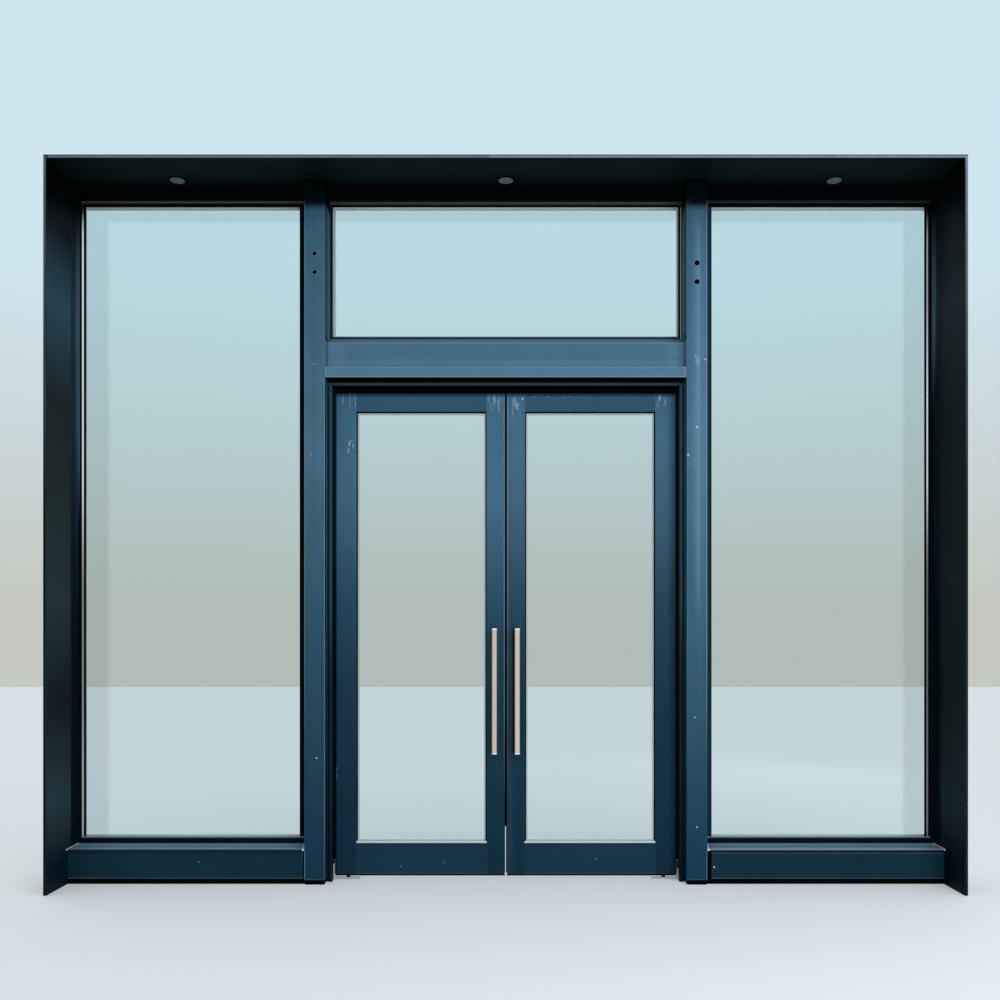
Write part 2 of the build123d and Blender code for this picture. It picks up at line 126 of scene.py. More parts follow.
stageLook = {
    "floorSize": 44.0,
    "floorZ": -0.001,           # a little under the feet of the part
    "floorColour": "#e2e6e8",
    "floorShade": "#dce1e4",
    "floorGlow": 0.30,          # seen by the camera and in the glass only, so the floor looks pale
    "skyTop": "#cfe6f0",        # pale backdrop, cool above and greyer near the floor
    "skyLow": "#c5c8c2",
    "skyFade": (0.04, 0.34),    # sines of the angles above the horizon
    "ambient": "#eef3f6",
    "ambientLight": 0.70,
}


def seenRays(tree):
    # 1 for the rays that show the plain background, 0 for the rays that light the object
    rays = addNode(tree, "LightPath").outputs
    seen = rays["Is Camera Ray"]
    for kind in ("Is Glossy Ray", "Is Transmission Ray"):
        seen = addNode(tree, "Math", {0: seen, 1: rays[kind]}, operation="MAXIMUM").outputs[0]
    return seen


def makeStage():
    material, tree = newMaterial("plainPaleFloor")
    grain = addNode(tree, "TexNoise", {"Scale": 1.5, "Detail": 4.0})
    tone = addNode(tree, "Mix", {"Factor": grain, "A": stageLook["floorShade"],
                                 "B": stageLook["floorColour"]}, data_type="RGBA")
    glow = addNode(tree, "Math", {0: seenRays(tree), 1: stageLook["floorGlow"]}, operation="MULTIPLY")
    shader = addNode(tree, "BsdfPrincipled", {
        "Base Color": tone.outputs["Result"], "Roughness": 0.85,
        "Emission Color": stageLook["floorColour"], "Emission Strength": glow})
    addNode(tree, "OutputMaterial", {"Surface": shader})
    mesh = bpy.data.meshes.new("studioFloor")
    half, z = stageLook["floorSize"] / 2, stageLook["floorZ"]
    corners = [(-half, -half, z), (half, -half, z), (half, half, z), (-half, half, z)]
    mesh.from_pydata(corners, [], [(0, 1, 2, 3)])
    mesh.materials.append(material)
    floor = bpy.data.objects.new("studioFloor", mesh)
    scene.collection.objects.link(floor)

    world = bpy.data.worlds.new("paleStudio")
    world.use_nodes = True
    scene.world = world
    tree = world.node_tree
    tree.nodes.clear()
    split = addNode(tree, "SeparateXYZ", {0: addNode(tree, "TexCoord").outputs["Generated"]})
    low, high = stageLook["skyFade"]
    height = addNode(tree, "MapRange", {"Value": split.outputs["Z"], "From Min": low, "From Max": high})
    sky = addNode(tree, "Mix", {"Factor": height, "A": stageLook["skyLow"], "B": stageLook["skyTop"]},
                  data_type="RGBA")
    shown = addNode(tree, "Background", {"Color": sky.outputs["Result"], "Strength": 1.0})
    lit = addNode(tree, "Background", {"Color": stageLook["ambient"], "Strength": stageLook["ambientLight"]})
    both = addNode(tree, "MixShader", {0: seenRays(tree), 1: lit, 2: shown})
    addNode(tree, "OutputWorld", {"Surface": both})


lamps = {
    "frontSoft": {"place": (2.2, -5.4, 4.2), "aim": (0.2, 0.0, 2.0), "size": (4.4, 2.6), "power": 121,
                  "tint": "#f4f8ff"},
    "fillLow": {"place": (3.4, -4.6, 1.7), "aim": (-0.4, 0.0, 1.7), "size": (1.8, 2.4), "power": 24,
                "tint": "#f6f8fb"},
}


def makeLamps():
    for name, look in lamps.items():
        light = bpy.data.lights.new(name, "AREA")
        light.shape = "RECTANGLE"
        light.size, light.size_y = look["size"]
        light.energy = look["power"]
        light.color = hexColour(look["tint"])[:3]
        lamp = bpy.data.objects.new(name, light)
        lamp.location = look["place"]
        beam = Vector(look["aim"]) - Vector(look["place"])
        lamp.rotation_euler = beam.to_track_quat("-Z", "Y").to_euler()
        lamp.visible_glossy = lamp.visible_transmission = False    # the panes show the plain backdrop
        scene.collection.objects.link(lamp)


makeStage()
makeLamps()
print("camera, stage and lamps made")


# Where a finish changes along a piece: places in metres, read from the CAD boxes
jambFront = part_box("door_jamb_left")[0].y
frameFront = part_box("fan_frame")[0].y
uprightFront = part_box("mullion_left")[0].y
uprightIn = abs(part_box("mullion_left")[1].x)
uprightOut = abs(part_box("mullion_left")[0].x)
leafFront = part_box("hinge_stile_left")[0].y
leafEdge = abs(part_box("hinge_stile_left")[0].x)
meetEdge = abs(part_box("meeting_stile_left")[1].x)
lipLow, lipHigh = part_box("transom_lip")[0].z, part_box("transom_lip")[1].z
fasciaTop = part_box("transom_fascias")[1].z
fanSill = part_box("fan_beads")[0].z + 14 * mm      # the glass sits 14 mm deep in its rebate
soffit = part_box("soffit_panels")[0].z
sillLow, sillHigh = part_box("sills")[0].z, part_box("sills")[1].z
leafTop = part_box("hinge_stile_left")[1].z
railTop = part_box("top_rail_left")[0].z


def patch(code, amount=1.0, soft=0.4, **limits):
    # paints inside limits, axis=(low, high) in metres, with edges soft by so many mm, for all or by axis
    def draw(tree, along, colour):
        mask = amount
        for axis, edges in limits.items():
            fade = (soft.get(axis, 0.4) if isinstance(soft, dict) else soft) * mm
            for edge, way in zip(edges, (-1, 1)):
                if edge is not None:
                    step = addNode(tree, "MapRange", {"Value": along[axis], "From Min": edge + way * fade,
                                                      "From Max": edge - way * fade})
                    mask = addNode(tree, "Math", {0: step, 1: mask}, operation="MULTIPLY")
        mixed = addNode(tree, "Mix", {"Factor": mask, "A": colour, "B": code}, data_type="RGBA")
        return mixed.outputs["Result"]
    return draw


# What every coat has unless its own look says otherwise, sizes in mm
coatLook = {
    "along": "Z", "bandWidth": 30, "bandLength": 2600, "cloud": 260, "swing": 0.22,
    "grit": 7, "mottle": 0.07, "peel": 3,           # the powder is finer than this, drawn coarse to show
    "speckCell": 90, "speckSize": 3.2, "speckShare": 0.2, "speckAmount": 0.7, "speckColour": "#b9c9d0",
    "rubAndHighlightWidth": 4.0, "rubAndHighlightColour": "#8ca2ae",        # rubbed edge and painted edge highlight, wider than the real 1 mm so that it shows
    "markGrain": (3, 3, 14), "markColour": "#a9c6d8",
    "glint": "#74a2bf",                 # reflections are tinted this blue, a painted reflection of the sky
    "marks": [], "patches": [],
}
toneHeight = 3.7        # the tones by height are shares of this, in metres


# Powder-coated aluminium: a soft satin skin over drawn profiles, with painted light and shade by height,
# rubbed arrises with a painted edge highlight, dust specks, scuffs and dried water marks
def coatedAluminium(name, ownLook):
    look = {**coatLook, **ownLook}
    material, tree = newMaterial(name)
    place = addNode(tree, "TexCoord").outputs["Object"]
    split = addNode(tree, "SeparateXYZ", {0: place})
    along = {axis: split.outputs[axis] for axis in "XYZ"}
    along["offCentre"] = addNode(tree, "Math", {0: along["X"]}, operation="ABSOLUTE").outputs[0]

    # tone by height: painted light and shade, lighter where the coat would mirror the sky, darker towards the
    # ground, black as painted shadow under the soffit
    climb = addNode(tree, "MapRange", {"Value": along["Z"], "From Max": toneHeight})
    tone = addNode(tree, "ValToRGB", {"Fac": climb})
    setRamp(tone, look["heights"])

    # drawn bands along the profile, in larger clouds, with the mottle of the powder
    sizes = dict.fromkeys("XYZ", look["bandWidth"] * mm)
    sizes[look["along"]] = look["bandLength"] * mm
    stretch = addNode(tree, "Mapping", {"Vector": place, "Scale": [1 / sizes[axis] for axis in "XYZ"]})
    bands = addNode(tree, "TexNoise", {"Vector": stretch, "Scale": 1.0, "Detail": 3.0, "Roughness": 0.55})
    clouds = addNode(tree, "TexNoise", {"Vector": place, "Scale": 1 / (look["cloud"] * mm),
                                        "Detail": 3.0, "Roughness": 0.6})
    mixed = addNode(tree, "Math", {0: bands, 1: clouds}, operation="ADD")
    shade = addNode(tree, "MapRange", {"Value": mixed, "From Min": 0.6, "From Max": 1.4,
                                       "To Min": 1 - look["swing"], "To Max": 1 + look["swing"]})
    grit = addNode(tree, "TexNoise", {"Vector": place, "Scale": 1 / (look["grit"] * mm), "Detail": 1.0})
    gritShade = addNode(tree, "MapRange", {"Value": grit, "From Min": 0.3, "From Max": 0.7,
                                           "To Min": 1 - look["mottle"], "To Max": 1 + look["mottle"]})
    shade = addNode(tree, "Math", {0: shade, 1: gritShade}, operation="MULTIPLY")
    colour = addNode(tree, "VectorMath", {0: tone, "Scale": shade}, operation="SCALE")

    # dust specks, 3 to 6 mm wide, in a few of the cells only
    cell = look["speckCell"] * mm
    dots = addNode(tree, "TexVoronoi", {"Vector": place, "Scale": 1 / cell, "Randomness": 1.0})
    chosen = addNode(tree, "SeparateColor", {0: dots.outputs["Color"]})
    size = addNode(tree, "MapRange", {"Value": chosen, "From Min": 1 - look["speckShare"], "From Max": 1.0,
                                      "To Min": 0.0, "To Max": look["speckSize"] * mm / cell})
    speck = addNode(tree, "Math", {0: dots, 1: size}, operation="LESS_THAN")
    speck = addNode(tree, "Math", {0: speck, 1: look["speckAmount"]}, operation="MULTIPLY")
    dusted = addNode(tree, "Mix", {"Factor": speck, "A": colour, "B": look["speckColour"]}, data_type="RGBA")

    # rubbed lighter along the arrises, worn coat with a painted edge highlight, where the rounded normal
    # turns away from the true one
    soft = addNode(tree, "Bevel", {"Radius": look["rubAndHighlightWidth"] * mm}, samples=4)
    hard = addNode(tree, "NewGeometry").outputs["Normal"]
    turn = addNode(tree, "VectorMath", {0: soft, 1: hard}, operation="DOT_PRODUCT").outputs["Value"]
    rubAndHighlight = addNode(tree, "MapRange", {"Value": turn, "From Min": 0.995, "From Max": 0.80,
                                     "To Min": 0.0, "To Max": look["rubAndHighlight"]})
    rubbedAndHighlighted = addNode(tree, "Mix", {"Factor": rubAndHighlight, "A": dusted.outputs["Result"],
                                   "B": look["rubAndHighlightColour"]}, data_type="RGBA")
    colour = rubbedAndHighlighted.outputs["Result"]
    for paint in look["patches"]:
        colour = paint(tree, along, colour)

    # scuffs and dried runs on the front face: soft ovals (x, z, half width, half height, amount) in mm,
    # broken up by a grain stretched downwards
    if look["marks"]:
        fine = [1 / (size * mm) for size in look["markGrain"]]
        thin = addNode(tree, "Mapping", {"Vector": place, "Scale": fine})
        grain = addNode(tree, "TexNoise", {"Vector": thin, "Scale": 1.0, "Detail": 2.0})
        broken = addNode(tree, "MapRange", {"Value": grain, "From Min": 0.38, "From Max": 0.62})
        front = addNode(tree, "Math", {0: along["Y"], 1: look["front"] + 2 * mm}, operation="LESS_THAN")
        broken = addNode(tree, "Math", {0: broken, 1: front}, operation="MULTIPLY")
    for x, z, halfX, halfZ, amount in look["marks"]:
        worn = front if amount >= 1 else broken     # a whole 1 is a bare chip, not broken up
        oval = addNode(tree, "Mapping", {"Vector": place, "Location": (-x / halfX, 0, -z / halfZ),
                                         "Scale": (1000 / halfX, 0, 1000 / halfZ)})
        reach = addNode(tree, "VectorMath", {0: oval}, operation="LENGTH").outputs["Value"]
        fade = addNode(tree, "MapRange", {"Value": reach, "From Min": 1.0, "From Max": 0.4, "To Max": amount})
        part = addNode(tree, "Math", {0: fade, 1: worn}, operation="MULTIPLY")
        colour = addNode(tree, "Mix", {"Factor": part, "A": colour, "B": look["markColour"]},
                         data_type="RGBA").outputs["Result"]

    # orange peel of the coat
    peel = addNode(tree, "TexNoise", {"Vector": place, "Scale": 1 / (look["peel"] * mm), "Detail": 2.0})
    bump = addNode(tree, "Bump", {"Height": peel, "Strength": 0.06, "Distance": 0.4 * mm})
    gloss = addNode(tree, "MapRange", {
        "Value": mixed, "From Min": 0.6, "From Max": 1.4,
        "To Min": look["roughness"] - 0.06, "To Max": look["roughness"] + 0.06})
    sheen = look["sheen"]
    if "dullInside" in look:
        # the flanks towards the leaves get a tenth of the sheen, so that they stay dark as if in shade
        edge = look["dullInside"]
        sheen = addNode(tree, "MapRange", {
            "Value": along["offCentre"], "From Min": edge, "From Max": edge + 0.2 * mm,
            "To Min": 0.1 * sheen, "To Max": sheen})
    shader = addNode(tree, "BsdfPrincipled", {
        "Base Color": colour, "Roughness": gloss, "Normal": bump,
        "IOR": 1.5, "Specular IOR Level": sheen, "Specular Tint": look["glint"]})
    addNode(tree, "OutputMaterial", {"Surface": shader})
    return material


def arris(low, high, code, amount, bottom=None, top=None, y=None):
    # a light line along an upright's corner, a painted highlight, fading out towards the ground
    soft = {"X": 0.8, "Z": 260.0 if bottom else 0.8}
    return patch(code, amount, soft, X=(low, high), Z=(bottom, top), Y=(None, y))


nearFace = (None, uprightFront + 6 * mm)
arrisEnds = {"bottom": 0.9, "top": soffit - 0.14, "y": uprightFront + 6 * mm}
uprightLook = {
    # painted light and shade: lightest at mid height, darker towards the ground, black on the top as painted
    # shadow under the soffit
    "heights": [(0.035, "#193b51"), (0.19, "#264759"), (0.40, "#375a6f"), (0.61, "#4b6f85"),
                (0.82, "#44667b"), (0.925, "#3d6378"), (0.9485, "#36586b"), (0.9605, "#010304"),
                (1.0, "#010203")],
    "roughness": 0.42, "bandWidth": 26, "rubAndHighlight": 0.3, "speckShare": 0.12, "sheen": 0.2, "swing": 0.14,
    "front": uprightFront, "dullInside": uprightIn + 0.2 * mm,
}


def flankPaint(code, amount):
    # the flanks towards the leaves: painted shade in the corner under the lip, painted light beside the
    # transom, and above it painted shade with a lighter line on the glazing step behind; then black painted
    # shadow on the top under the soffit, over every line
    flank = (None, uprightIn + 0.4 * mm)
    corner = uprightFront + 3 * mm
    beside, above = (lipHigh, fasciaTop), (fasciaTop, None)
    return [
        patch("#061420", 0.78, offCentre=flank, Y=(corner, 0.030), Z=(None, lipLow)),
        patch("#0f2430", 0.12, offCentre=flank, Y=(0.030, None), Z=(None, lipLow)),
        patch("#6890a8", 0.5, offCentre=flank, Y=(corner, 0.044), Z=beside),
        patch("#183241", 0.85, {"Y": 3.0}, offCentre=flank, Y=(corner, 0.067), Z=above),
        patch(code, amount, {"Y": 2.0}, offCentre=flank, Y=(0.072, 0.124), Z=(fasciaTop, soffit - 0.12)),
        patch("#010203", 0.97, 18.0, Z=(3.554, None))]


leftUprightLook = dict(
    uprightLook,
    marks=[(-1012, 2240, 6, 12, 0.5), (-1030, 2770, 3, 22, 0.5), (-1000, 2714, 26, 4, 0.35),
           (-985, 660, 6, 7, 1.0), (-1020, 1180, 3, 5, 0.7)],
    patches=[
        # painted highlights along both corners
        arris(-uprightIn - 5 * mm, -uprightIn + 1 * mm, "#86a0ad", 0.36, 0.03, lipLow, uprightFront + 6 * mm),
        arris(-uprightOut - 1 * mm, -uprightOut + 4 * mm, "#8ba3b0", 0.38, **arrisEnds),
        # a lighter outer corner low down beside the plinth, and a lighter foot
        patch("#8aa4b0", 0.7, X=(None, -uprightOut + 4 * mm), Y=nearFace, Z=(0.03, sillLow)),
        patch("#5d7684", 0.3, Z=(None, 0.029)),
        *flankPaint("#5f7c8b", 0.55)])
rightUprightLook = dict(
    uprightLook,
    # a lighter copy of the left upright's tones: painted light, as the light falls from the right
    heights=[(0.035, "#1d4257"), (0.19, "#305367"), (0.40, "#446980"), (0.61, "#577b93"), (0.82, "#4b738d"),
             (0.925, "#45677d"), (0.9485, "#3d5c70"), (0.9605, "#010304"), (1.0, "#010203")],
    marks=[(999, 2732, 17, 34, 0.38), (990, 2755, 7, 8, 0.6), (1004, 2744, 6, 9, 0.6),
           (1001, 2712, 10, 7, 0.6), (1039, 2737, 7, 7, 1.0), (996, 2384, 8, 8, 1.0), (950, 2238, 8, 9, 1.0),
           (985, 872, 5, 5, 1.0), (996, 300, 6, 6, 1.0)],
    patches=[
        # a lighter band up the middle, and a darker one towards the leaves
        patch("#7fa3b8", 0.3, {"X": 8.0, "Z": 130.0}, X=(0.990, 1.012), Z=(1.5, 3.4), Y=nearFace),
        patch("#1f3a4a", 0.25, {"X": 9.0, "Z": 200.0}, X=(None, 0.966), Z=(1.5, None), Y=nearFace),
        patch("#8aa4b0", 0.5, X=(uprightOut - 4 * mm, None), Y=nearFace, Z=(0.03, sillLow)),
        # painted highlights along both corners, the outer one brighter
        arris(uprightOut - 5 * mm, uprightOut + 1 * mm, "#9ab3c0", 0.42, **arrisEnds),
        arris(uprightIn - 1 * mm, uprightIn + 4 * mm, "#5d7684", 0.28, **arrisEnds),
        patch("#5d7684", 0.3, Z=(None, 0.029)),
        *flankPaint("#54707f", 0.6)])
crossLook = dict(
    uprightLook, along="X", swing=0.08, bandLength=1400, dullInside=0.0,
    heights=[(0.729, "#557b93"), (0.7295, "#59819b"), (0.744, "#59819b"), (0.7445, "#4d738a")],
    patches=[
        # painted light towards both ends, against the shade beside the mullions, and painted highlights along
        # the edges of the plates and the lip
        patch("#7fa8c0", 0.3, {"offCentre": 55.0}, offCentre=(0.868, None), Z=(lipHigh, fasciaTop)),
        patch("#84a3b4", 0.25, Z=(lipHigh - 5 * mm, lipHigh + 1 * mm), Y=nearFace),
        patch("#8799a2", 0.6, Z=(lipLow - 1 * mm, lipLow + 6 * mm), Y=nearFace),
        patch("#86a6b8", 0.4, Z=(2.756, 2.760)),
        patch("#7d9db0", 0.6, Z=(fasciaTop - 5 * mm, None)),
        # painted highlights on the ends of the lip, painted shade on the ends against the mullions, and
        # painted shadow, black, under the lip
        patch("#86a3b3", 0.5, offCentre=(0.9355, 0.9405), Z=(None, lipHigh), Y=nearFace),
        patch("#0d1c26", 0.85, offCentre=(0.9405, None)),
        patch("#02060a", 1.0, Z=(None, lipLow + 0.6 * mm), Y=(uprightFront + 4 * mm, None))])
leafLook = {
    # painted light and shade: darker towards the ground
    "heights": [(0.035, "#173445"), (0.115, "#1a3747"), (0.26, "#1f3d4e"), (0.40, "#2c4f64"),
                (0.545, "#4b7088"), (0.66, "#476e86")],
    "roughness": 0.45, "bandWidth": 34, "rubAndHighlight": 0.10, "speckShare": 0.10, "sheen": 0.15, "swing": 0.14,
    "front": leafFront,
}
leafTopShade = patch("#0a1a24", 0.75, 6.0, Z=(leafTop - 14 * mm, None))


def pullShadow(low, high, code, amount):
    # painted shadow beside a pull, on the face of the leaf
    return patch(code, amount, {"X": 3.0, "Z": 4.0}, X=(low, high), Z=(0.672, 1.338),
                 Y=(None, leafFront + 2 * mm))


leftStileLook = dict(
    leafLook,
    marks=[(-866, 2545, 3.5, 46, 0.6), (-829, 2555, 4, 42, 0.75), (-826, 2515, 3, 20, 0.5),
           (-800, 2535, 3.5, 55, 0.6), (-838, 2285, 7, 24, 0.75), (-832, 2322, 6, 20, 0.95),
           (-820, 2335, 9, 8, 0.9), (-812, 2308, 5, 24, 0.7), (-898, 570, 3, 46, 0.7),
           (-92, 2560, 7, 22, 0.5), (-62, 2548, 12, 36, 0.75), (-40, 2535, 9, 44, 0.6),
           (-78, 2520, 6, 24, 0.6), (-25, 2560, 5, 20, 0.5), (-35, 2500, 6, 30, 0.35),
           (-64, 2505, 5, 26, 0.45)],
    patches=[
        arris(-meetEdge - 5 * mm, -meetEdge + 1 * mm, "#8aa4b2", 0.5, 0.7, y=leafFront + 6 * mm),
        patch("#7794a5", 0.35, {"Z": 300.0}, X=(-0.1035, -0.0995), Z=(1.6, None)),
        leafTopShade,
        pullShadow(-0.083, -0.071, "#06131c", 0.55),
        # painted shade along the hinge edge
        patch("#020a0f", 0.7, 3.0, X=(None, -leafEdge + 7 * mm))])
rightStileLook = dict(
    leafLook,
    heights=[(0.035, "#163443"), (0.115, "#18384a"), (0.26, "#1d3b4a"), (0.40, "#2a4a5c"), (0.545, "#46687d"),
             (0.66, "#486e86")],
    marks=[(44, 2540, 14, 32, 0.65), (62, 2520, 12, 30, 0.7), (36, 2490, 5, 46, 0.4), (88, 2558, 7, 7, 1.0),
           (820, 2560, 10, 20, 0.8), (808, 2528, 5, 30, 0.55), (846, 2540, 12, 24, 0.4),
           (872, 2548, 7, 20, 0.3)],
    patches=[
        arris(meetEdge - 1 * mm, meetEdge + 5 * mm, "#8aa4b2", 0.45, 0.7, y=leafFront + 6 * mm),
        patch("#3c5260", 0.28, {"Z": 300.0}, X=(None, 0.0365), Z=(None, 1.5)),
        # painted shade towards the hinge edge
        patch("#0d2633", 0.42, 12.0, X=(0.872, None)),
        patch("#54707f", 0.4, X=(0.0995, 0.1035), Z=(railTop, None)),
        leafTopShade,
        pullShadow(0.035, 0.060, "#02080d", 0.95),
        # painted shade along the hinge edge
        patch("#020a0f", 0.7, 3.0, X=(leafEdge - 7 * mm, None))])
railLook = dict(
    # the bottom rails darker than the top rails: painted shade by height
    leafLook, along="X", swing=0.10, heights=[(0.3, "#1d3b4c"), (0.6, "#385b71")],
    marks=[(155, 2567, 4, 5, 0.9), (187, 2571, 4, 4, 0.8), (228, 2566, 4, 5, 0.9), (268, 2569, 3, 4, 0.7),
           (306, 2565, 4, 5, 0.9), (341, 2570, 4, 4, 0.8), (420, 2568, 4, 4, 0.6), (-330, 92, 4, 5, 0.9),
           (-560, 70, 4, 4, 0.8), (480, 110, 4, 5, 0.8)],
    patches=[leafTopShade, patch("#35505e", 0.7, Z=(None, 0.038))])
darkFrameLook = {
    # darkest at the top: painted shade under the soffit
    "heights": [(0.0, "#0a141b"), (0.92, "#070c10"), (0.97, "#030405"), (1.0, "#010202")], "roughness": 0.5,
    "rubAndHighlight": 0.15, "rubAndHighlightColour": "#4e6672", "speckShare": 0.06, "speckAmount": 0.3, "sheen": 0.12,
}
frameFace = (None, frameFront + 2 * mm)
leftHalf, rightHalf = (None, 0.0), (0.0, None)
sideFrameLook = dict(
    darkFrameLook, rubAndHighlight=0.04,
    patches=[
        # lighter outer edges beside the linings, and a grey line over each pane
        patch("#56727f", 0.8, {"Z": 200.0}, X=(None, -2.2805), Y=frameFace, Z=(2.1, 3.38)),
        patch("#4d6874", 0.8, {"Z": 200.0}, X=(2.2805, None), Y=frameFace, Z=(2.7, 3.38)),
        patch("#4a4a44", 1.0, 1.5, X=(-2.272, 0.0), Y=frameFace, Z=(3.611, 3.625)),
        patch("#2c3232", 1.0, 1.5, X=(0.0, 2.272), Y=frameFace, Z=(3.613, 3.627))])
fanSides = (fanSill, soffit - 0.09)
fanFrameLook = dict(
    darkFrameLook,
    # darker upwards: painted shade under the soffit
    heights=[(0.782, "#35505f"), (0.83, "#1f3542"), (0.92, "#0f1a22"), (0.965, "#050607"), (1.0, "#020303")],
    patches=[
        # a grey line over the pane, a painted highlight on the edge under it and a lighter face below, then
        # the edges of the frame beside both mullions, with a painted glint on the right one
        patch("#43443e", 1.0, 1.5, Z=(3.604, 3.621), Y=frameFace),
        patch("#7891a1", 0.7, Z=(2.8765, 2.8820), Y=frameFace),
        patch("#5c7585", 0.85, Z=(None, 2.8765), Y=frameFace),
        patch("#cdd8e0", 1.0, {"X": 0.3}, X=(0.9335, 0.9368), Z=fanSides, Y=frameFace),
        patch("#2a3c49", 0.9, {"X": 0.3}, X=(0.9368, None), Z=fanSides, Y=frameFace),
        patch("#1c313d", 0.85, X=(None, -0.9335), Z=fanSides, Y=frameFace)])
weatherBarLook = dict(
    darkFrameLook, heights=[(0.0, "#0f2d3c"), (0.2, "#0a141b")],
    patches=[patch("#869aa5", 0.85, 0.8, Y=(None, frameFront + 9 * mm), Z=(0.2172, None))])
leafBeadLook = dict(darkFrameLook, patches=[patch("#dde4e6", 0.95, Y=(None, leafFront + 7 * mm))])
plinthLook = {
    "heights": [(0.0, "#173543")], "roughness": 0.45, "along": "X", "bandLength": 900, "sheen": 0.12,
    "front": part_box("plinth_fascia_right")[0].y, "marks": [(1087, 91, 6, 6, 1.0), (-1600, 118, 3, 3, 1.0)],
    "markColour": "#c9dbe4", "rubAndHighlight": 0.4, "rubAndHighlightColour": "#5e7683",
    "speckShare": 0.25, "speckCell": 70, "speckAmount": 0.65,
    "patches": [
        patch("#4c5f66", 0.6, Z=(None, 0.036)),        # lighter foot
        patch("#0a1219", 0.8, Z=(0.171, None)),        # shade of the sill
        patch("#4a6270", 0.5, X=rightHalf, Z=(0.161, 0.165)),
        patch("#020a10", 0.7, offCentre=(2.284, None))],
}
sillLook = {
    "heights": [(0.0, "#7d9fb6")], "roughness": 0.38, "along": "X", "rubAndHighlight": 0.2, "rubAndHighlightColour": "#9fb0bd",
    "bandWidth": 60, "sheen": 0.2,
    "patches": [
        # a darker band across the top, a painted highlight along the front, and painted shadow at the foot of
        # the nose, taller on the left
        patch("#34495c", 0.85, 5.0, Y=(0.038, 0.060)),
        patch("#8ea0b3", 0.9, 4.0, Y=(None, 0.030)),
        patch("#0b1820", 0.95, Z=(None, sillLow + 5.0 * mm)),
        patch("#1c2f3d", 0.9, X=leftHalf, Z=(None, sillLow + 8.2 * mm))],
}
trimLook = {
    # lighter upwards, partly painted light
    "heights": [(0.0, "#182328"), (0.2, "#232f35"), (0.54, "#1d2b30"), (0.7, "#34444a"), (0.88, "#5b6a70"),
                (0.975, "#6b7a84"), (0.99, "#7b8a9b")],
    "roughness": 0.45, "rubAndHighlight": 0.2, "rubAndHighlightWidth": 2.0, "rubAndHighlightColour": "#8896a6", "bandWidth": 60, "sheen": 0.12,
    "patches": [
        # each bar of the top has its own tone
        patch("#2e3740", 0.8, Z=(3.6895, None)),
        patch("#333c44", 0.35, X=(None, -0.086), Z=(3.6785, None)),
        # the upright bars stay light in the middle of their width only, with painted shade along their edges
        patch("#9aa7a8", 0.15, {"Z": 170.0}, X=(None, -2.28), Z=(2.9, None)),
        patch("#10171b", 0.7, {"X": 0.6, "Z": 170.0}, X=(-2.2985, -2.28), Z=(2.7, None)),
        patch("#04090c", 0.8, {"X": 0.6, "Z": 260.0}, X=(None, -2.2955), Z=(None, 2.2)),
        patch("#04090c", 0.7, {"X": 0.6, "Z": 260.0}, X=(2.2995, None), Z=(None, 2.2)),
        patch("#0b1317", 0.9, X=(-2.2905, 2.2935), Z=(None, 3.6785))],
}
liningLook = {
    # tones by height, partly painted light and shade, and black at the top as painted shadow under the soffit
    "heights": [(0.03, "#010f16"), (0.12, "#192c31"), (0.26, "#081614"), (0.40, "#0f1a1e"), (0.54, "#0f1c1a"),
                (0.68, "#0c1617"), (0.813, "#223438"), (0.915, "#03090c"), (1.0, "#010203")],
    "roughness": 0.6, "rubAndHighlight": 0.15, "rubAndHighlightColour": "#33454e", "bandWidth": 90, "sheen": 0.08,
    "speckShare": 0.04, "speckAmount": 0.3,
}
leftLiningLook = dict(
    liningLook,
    # a lighter copy of the right lining's tones: painted light on the left lining, which faces the light
    heights=[(0.03, "#021c28"), (0.12, "#2f454d"), (0.26, "#0b171e"), (0.40, "#2a4145"), (0.54, "#253331"),
             (0.68, "#1e292c"), (0.813, "#365a6b"), (0.915, "#030a0d"), (1.0, "#010203")])
returnLook = dict(
    liningLook, rubAndHighlight=0.0,
    heights=[(0.12, "#021a24"), (0.40, "#08202a"), (0.687, "#2c4a59"), (0.83, "#3e5f6d"), (0.95, "#09141a"),
             (1.0, "#010203")],
    patches=[
        # the right one is painted darker, as painted shade on the side away from the light, and both have a
        # darker part in front and a lighter edge behind
        *[patch("#040d12", amount, {"Z": 170.0}, X=rightHalf, Z=span)
          for amount, span in ((0.75, (1.9, 2.85)), (0.35, (2.85, None)), (0.4, (None, 1.9)))],
        patch("#02090e", 0.55, 4.0, Y=(None, 0.101)),
        patch("#5c7987", 0.3, {"Z": 200.0}, X=leftHalf, Y=(0.105, None), Z=(2.3, 3.38)),
        patch("#6a8896", 0.4, {"Z": 200.0}, X=rightHalf, Y=(0.105, None), Z=(2.8, 3.38))])
soffitLook = {
    "heights": [(0.0, "#0c1717")], "roughness": 0.6, "along": "X", "bandLength": 1200, "rubAndHighlight": 0.15,
    "rubAndHighlightColour": "#2c3838", "sheen": 0.06, "speckShare": 0.02, "speckAmount": 0.3,
    "patches": [patch("#010203", 0.9, 40.0, Y=(0.05, None))],      # unlit at the back
}
blackSteelLook = {
    "heights": [(0.0, "#060708")], "roughness": 0.6, "rubAndHighlight": 0.15, "rubAndHighlightColour": "#30363a", "speckAmount": 0.3,
    "sheen": 0.06,
}
jambFace = (None, jambFront + 2 * mm)
